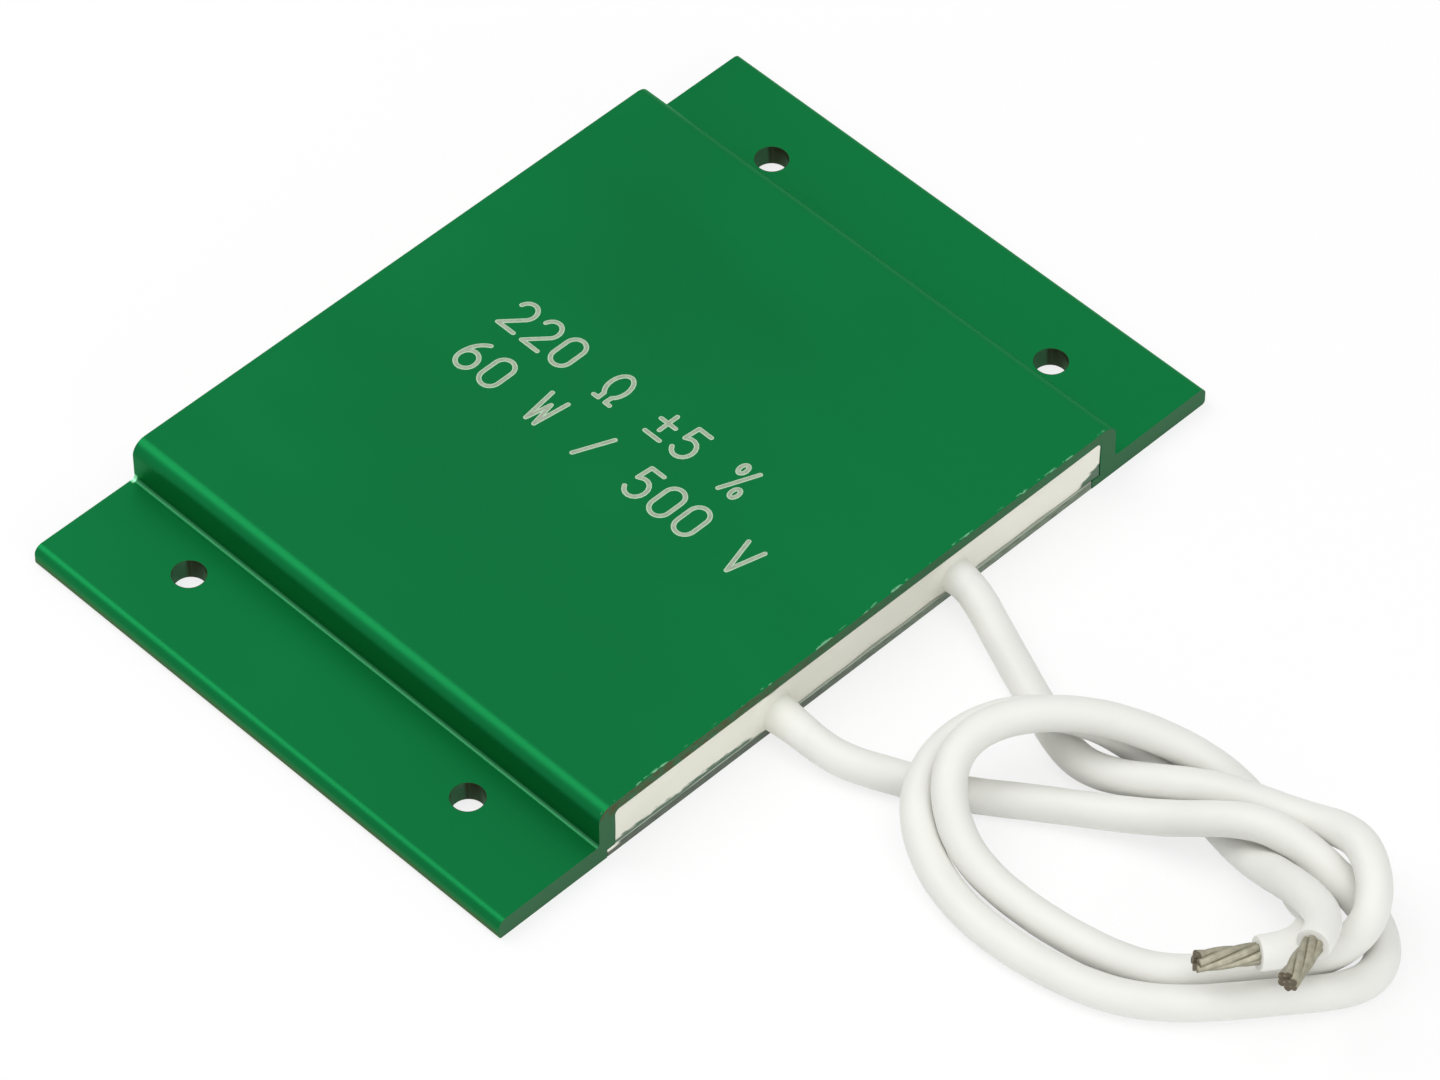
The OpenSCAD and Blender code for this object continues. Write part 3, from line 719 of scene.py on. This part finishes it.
class RESISTOR_OT_compound(Operator):
    """Pour the white compound into both ends, with its flares round the leads"""
    bl_idname = "resistor.compound"
    bl_label = "Sealing compound"

    def execute(self, context):
        s = settings().compound
        material = compound_rubber(s, settings().lead)
        radius = settings().lead.diameter / 2
        low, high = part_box("front_seal")
        back = high.y
        leads = np.array([LEFT_X, RIGHT_X]) * MM
        reach = np.array([1.6, 1.0]) * MM

        def front_face(x, z):
            """The face's place along Y: a hollow that ends left of the left lead and at the
            right wall, slow waves of two sines, and round each lead a rise that falls off with
            the distance from the lead's skin."""
            deep = s.hollow * (0.25 + 0.75 / (1 + np.exp(-(x - leads[0]) / (0.8 * MM)))
                               - 0.8 / (1 + np.exp((29 * MM - x) / (0.4 * MM))))
            wave = 0.03 * MM * (np.sin(x / MM * 0.9) + np.sin(x / MM * 0.37 + z / MM))
            rise = 0
            for centre, far in zip(leads, reach):
                off = np.hypot(x - centre, z - LEAD_Z * MM) - radius
                rise = rise + far * np.exp(-np.maximum(off, 0) / (0.32 * MM))
            return FRONT + deep + wave - rise

        def rear_face(x, z):
            """The back's place along Y: a shallow hollow with slow waves of two sines."""
            wave = 0.04 * MM * (np.sin(x / MM * 0.7 + 1) + np.sin(x / MM * 0.23 - z / MM))
            return BACK - s.hollow + wave

        flares = [self.flare(LEFT_ROUTE, radius, s.flare, 6.0 * MM),
                  self.flare(RIGHT_ROUTE, radius, 0.6 * s.flare, 3.0 * MM)]
        front = self.block(front_face, back, 480)
        points, faces = join([front] + [flare[:2] for flare in flares])
        piece = mesh_piece("front_compound", points, faces, material, 60)
        keep_values(piece, "climb", [np.zeros(len(front[0]))] + [flare[2] for flare in flares])
        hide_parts("front_seal")
        points, faces = self.block(rear_face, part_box("rear_seal")[0].y, 200)
        piece = mesh_piece("rear_compound", points, flipped(faces), material,
                           60)
        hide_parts("rear_seal")
        return {"FINISHED"}

    def block(self, face, inner_y, across, up=34):
        """A block between an inner plane and a face y = face(x, z), over the cavity's section,
        whose upper corners are rounded: the half width is less by r - sqrt(r^2 - d^2) where
        the height is d above the start of the corner."""
        low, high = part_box("rear_seal")
        corner = 0.55 * MM
        u, v = np.meshgrid(np.linspace(-1, 1, across), np.linspace(0, 1, up), indexing="ij")
        z = low.z + v * (high.z - low.z)
        over = np.clip(z - (high.z - corner), 0, corner)
        half = high.x - corner + np.sqrt(corner ** 2 - over ** 2)
        x = u * half
        front = np.stack([x, face(x, z), z], -1)
        edge = np.concatenate([front[:-1, 0], front[-1, :-1], front[:0:-1, -1], front[0, :0:-1]])
        rim = edge.copy()
        rim[:, 1] = inner_y
        count = len(edge)
        index = np.arange(across * up).reshape(across, up)
        ring = np.concatenate([index[:-1, 0], index[-1, :-1], index[:0:-1, -1], index[0, :0:-1]])
        following = np.roll(ring, -1)
        back_ring = np.arange(count) + across * up
        back_following = np.roll(back_ring, -1)
        faces = grid_faces(across, up, False)[:, ::-1].tolist()
        faces = flipped(faces)
        faces += np.stack([ring, back_ring, back_following, following], -1).tolist()
        faces.append(back_ring[::-1].tolist())
        return np.concatenate([front.reshape(-1, 3), rim]), flipped(faces)

    def flare(self, route, radius, thick, far):
        """The compound that climbs a lead: a thin skin whose thickness falls with the square
        of the distance from the housing's face and ends in the lead's surface."""
        path = lead_path(route, 900)
        inside = SEAL_L * MM - 0.6 * MM
        s = arc_length(path)
        path = path[(s > inside) & (s < inside + far + 0.6 * MM)]

        def skin(s, a):
            left = np.clip(1 - (s - 0.6 * MM) / far, 0, 1)
            return radius - 0.02 * MM + (thick + 0.02 * MM) * left ** 2

        points, faces = tube(path, skin, 40)
        climb = np.clip((FRONT - points[:, 1]) / (0.6 * far), 0, 1)
        return points, faces, climb


class RESISTOR_OT_leads(Operator):
    """Make the two silicone leads and their twisted strands"""
    bl_idname = "resistor.leads"
    bl_label = "Leads"

    def execute(self, context):
        s = settings().lead
        silicone = lead_silicone(s)
        tin = tinned_wire(s)
        for side, route, x in (("left", LEFT_ROUTE, LEFT_X), ("right", RIGHT_ROUTE, RIGHT_X)):
            self.lead(s, side, route, x, silicone, tin)
        return {"FINISHED"}

    def lead(self, s, side, route, x, silicone, tin):
        path = lead_path(route)
        total = arc_length(path)[-1]
        radius = s.diameter / 2

        def skin(along, a):
            """The insulation's radius: even, with slow waves of a hundredth and a cut end whose
            edge is rounded off over a tenth of a millimetre."""
            wave = 1 + 0.006 * np.sin(along / MM * 0.55 + 2 * a) + 0.004 * np.sin(along / MM * 1.7)
            end = np.clip((total - along) / (0.12 * MM), 0, 1)
            return radius * wave * (0.95 + 0.05 * np.sqrt(end * (2 - end)))

        points, faces = tube(path, skin, 28)
        lead = mesh_piece(f"insulation_{side}", points, faces, silicone, 50)
        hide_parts(f"lead_{side}")
        strand = self.strand(s, side, route, path, x, tin)
        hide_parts(f"strand_{side}")

    def strand(self, s, side, route, path, x, tin):
        """The wires of a strand, laid in helices: wire k at place s lies off the axis by a wire's
        thickness, at the angle 2 pi (k / n + s / lay). One more wire runs in the middle."""
        ends = np.array(route[-2:], float) * MM
        away = ends[1] - ends[0]
        away /= np.linalg.norm(away)
        hidden = 1.0 * MM
        axis = path[-1] + np.linspace(-hidden, s.tip, 40)[:, None] * away
        _, level, upper = cross_axes(axis)
        thick = s.strand_diameter / 3
        shells, cuts = [], []
        for k in range(s.wires + 1):
            turn = 2 * math.pi * (k / s.wires + arc_length(axis) / s.lay)[:, None]
            off = 0 if k == s.wires else thick
            wire = axis + off * (np.cos(turn) * level + np.sin(turn) * upper)
            jitter = 0.18 * MM * math.sin(7.1 * k + (2 if side == "left" else 0))
            wire = wire + np.linspace(0, 1, 40)[:, None] ** 8 * jitter * away
            points, faces = tube(wire, lambda s, a: thick * 0.58, 14)
            shells.append((points, faces))
            cut = np.zeros(len(points))
            cut[-15:] = 1
            cuts.append(cut)
        crimp = np.array([x, 0, LEAD_Z]) * MM + [0, FRONT + SEAL_L * MM, 0]
        inner = crimp + np.linspace(STUB * MM, 0, 6)[:, None] * np.array([0, 1, 0])
        points, faces = tube(inner, lambda a, b: s.strand_diameter / 2, 24)
        shells.append((points, faces))
        cuts.append(np.zeros(len(points)))
        points, faces = join(shells)
        strand = mesh_piece(f"twisted_strand_{side}", points, faces, tin, 50)
        keep_values(strand, "cut", cuts)
        return strand


def arc(x, y, width, height, start, end, steps=14):
    """Points on an ellipse from one angle to another, in degrees."""
    a = np.radians(np.linspace(start, end, steps))
    return [(x + width * math.cos(t), y + height * math.sin(t)) for t in a]


def character(sign):
    """The strokes of a sign in a box 1 wide and 1 high. O stands for the ohm sign, and + for
    plus or minus."""
    return {
        "0": [arc(0.5, 0.72, 0.5, 0.28, 0, 180) + arc(0.5, 0.28, 0.5, 0.28, 180, 360)
              + [(1, 0.72)]],
        "2": [arc(0.5, 0.71, 0.48, 0.29, 165, -38) + [(0, 0), (1, 0)]],
        "5": [[(0.9, 1), (0.15, 1), (0.08, 0.56)] + arc(0.47, 0.32, 0.52, 0.32, 125, -150)],
        "6": [arc(0.5, 0.3, 0.5, 0.3, 0, 360, 28), arc(1.1, 0.3, 1.1, 0.75, 180, 112)],
        "O": [[(0, 0), (0.28, 0)] + arc(0.5, 0.58, 0.5, 0.42, 242, -62, 24)
              + [(0.72, 0), (1, 0)]],
        "+": [[(0.5, 0.3), (0.5, 0.9)], [(0.05, 0.6), (0.95, 0.6)], [(0.05, 0.06), (0.95, 0.06)]],
        "%": [[(0.12, 0), (0.88, 1)], arc(0.13, 0.84, 0.18, 0.16, 0, 360, 20),
              arc(0.87, 0.16, 0.18, 0.16, 0, 360, 20)],
        "W": [[(0, 1), (0.24, 0), (0.5, 0.7), (0.76, 0), (1, 1)]],
        "V": [[(0, 1), (0.5, 0), (1, 1)]],
        "/": [[(0.1, 0), (0.9, 1)]],
    }[sign]


class RESISTOR_OT_marking(Operator):
    """Lay two lines of plain numbers on the top, as thin sheets that look engraved"""
    bl_idname = "resistor.marking"
    bl_label = "Numbers"

    def execute(self, context):
        s = settings().marking
        shells, across = [], []
        for text, base, start in ((s.line_1, 1.1, 18.2), (s.line_2, -5.2, 17.8)):
            for place, sign in enumerate(text):
                if sign != " ":
                    flat, share, faces = self.engraving(s, character(sign))
                    height = (0.018 * (1 - share ** 2) - 0.003) * MM
                    points = np.stack([base * MM + flat[:, 1],
                                       start * MM - place * s.pitch - flat[:, 0],
                                       TOP + height], -1)
                    shells.append((points, faces))
                    across.append(share)
        points, faces = join(shells)
        piece = mesh_piece("engraved_numbers", points, faces, engraved_metal(s), 80)
        keep_values(piece, "across", across)
        return {"FINISHED"}

    def engraving(self, s, strokes):
        """A thin raised sheet over a sign's strokes, of small squares. Each point is a share of
        half the stroke's width away from the nearest stroke: d / (width / 2). Where the share
        is above one, the point moves straight towards the stroke until the share is one, so
        the sheet ends on a smooth outline."""
        half = s.stroke / 2
        size = np.array([s.width, s.height]) - s.stroke
        lines = [np.array(stroke, float) * size + half for stroke in strokes]
        first = np.concatenate([line[:-1] for line in lines])
        run = np.concatenate([np.diff(line, axis=0) for line in lines])
        cell = 0.06 * MM
        u, v = np.meshgrid(np.arange(-2 * cell, s.width + 2 * cell, cell),
                           np.arange(-2 * cell, s.height + 2 * cell, cell), indexing="ij")
        points = np.stack([u.ravel(), v.ravel()], 1)
        off = points[:, None, :] - first
        along = np.clip((off * run).sum(2) / (run ** 2).sum(1), 0, 1)
        off = off - along[:, :, None] * run
        distance = np.linalg.norm(off, axis=2)
        nearest = distance.argmin(1)
        row = np.arange(len(points))
        off, share = off[row, nearest], distance[row, nearest] / half
        points = points - off * (1 - 1 / np.maximum(share, 1))[:, None]
        faces = grid_faces(*u.shape, False)
        faces = faces[(share[faces] < 1).any(1)]
        used, faces = np.unique(faces, return_inverse=True)
        return points[used], np.minimum(share[used], 1), faces.reshape(-1, 4).tolist()


class RESISTOR_OT_inside(Operator):
    """Give the sealed inner pieces their materials"""
    bl_idname = "resistor.inside"
    bl_label = "Inner pieces"

    def execute(self, context):
        cement = plain_mineral("grey cement", linear(200, 194, 178), (1.0, 1.0, 1.0))
        mica = plain_mineral("brown mica", linear(184, 153, 107), (0.3, 0.3, 3.0))
        wire = plain_metal("resistance alloy", linear(128, 122, 118), 1.0, 0.35)
        nickel = plain_metal("nickel plate", linear(190, 188, 178), 1.0, 0.25)
        dressed = {"filler": cement, "upper_insulator": mica, "lower_insulator": mica,
                   "winding_card": mica, "resistance_winding": wire, "terminal_left": nickel,
                   "terminal_right": nickel, "terminal_rivets": nickel, "barrel_left": nickel,
                   "barrel_right": nickel}
        for node, material in dressed.items():
            dress(node, material)
        return {"FINISHED"}


class RESISTOR_PT_panel(Panel):
    """The resistor's pieces in the sidebar"""
    bl_idname = "RESISTOR_PT_panel"
    bl_label = "Flat power resistor"
    bl_space_type = "VIEW_3D"
    bl_region_type = "UI"
    bl_category = "Resistor"

    def draw(self, context):
        for operator in OPERATORS:
            self.layout.operator(operator.bl_idname)


SETTINGS = (HousingSettings, PlateSettings, CompoundSettings, LeadSettings, MarkingSettings,
            StageSettings, ResistorSettings)
OPERATORS = (RESISTOR_OT_stage, RESISTOR_OT_leads, RESISTOR_OT_housing, RESISTOR_OT_compound,
             RESISTOR_OT_marking, RESISTOR_OT_inside)


def register():
    for made in (*SETTINGS, *OPERATORS, RESISTOR_PT_panel):
        bpy.utils.register_class(made)
    bpy.types.Scene.resistor = PointerProperty(type=ResistorSettings)


def unregister():
    del bpy.types.Scene.resistor
    for made in reversed((*SETTINGS, *OPERATORS, RESISTOR_PT_panel)):
        bpy.utils.unregister_class(made)


def main():
    register()
    bpy.ops.resistor.stage()
    bpy.ops.resistor.leads()
    bpy.ops.resistor.housing()
    bpy.ops.resistor.compound()
    bpy.ops.resistor.marking()
    bpy.ops.resistor.inside()


if __name__ == "__main__":
    main()
